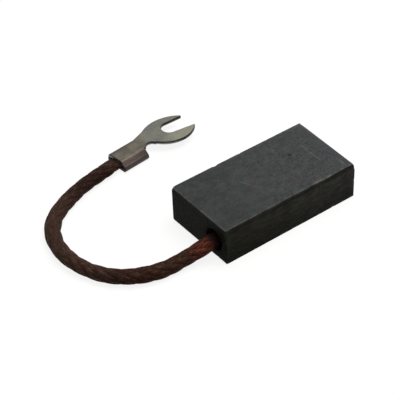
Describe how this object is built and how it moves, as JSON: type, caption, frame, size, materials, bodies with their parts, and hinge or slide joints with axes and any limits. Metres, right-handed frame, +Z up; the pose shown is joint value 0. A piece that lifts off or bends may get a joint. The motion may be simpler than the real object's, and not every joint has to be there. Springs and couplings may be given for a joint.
{
  "type": "carbon brush",
  "caption": "Rectangular carbon brush block with a stranded copper shunt tamped into one end and a crimped open fork terminal for an M5 stud on the shunt's free end.",
  "frame": {"origin": "centre of the block's underside, a broad face that it lies on; all positions are for the shunt as it is laid out", "axes": "+X from the shunt end towards the running face, +Z up through the block's thickness, the shunt and its terminal lie on the +Y side"},
  "size_m": [0.084, 0.0638, 0.0125],
  "materials": {
    "carbon": "dull pressed carbon, dark grey",
    "tamped_powder": "matt rammed copper powder, dark brown",
    "stranded_copper": "dark oxidised copper strands",
    "tinned_copper": "dull stained tin plate"
  },
  "bodies": {
    "root": {"carbon_block": "carbon", "tamping_plug": "tamped_powder", "shunt_cord": "stranded_copper", "fork_terminal": "tinned_copper"}
  },
  "joints": []
}
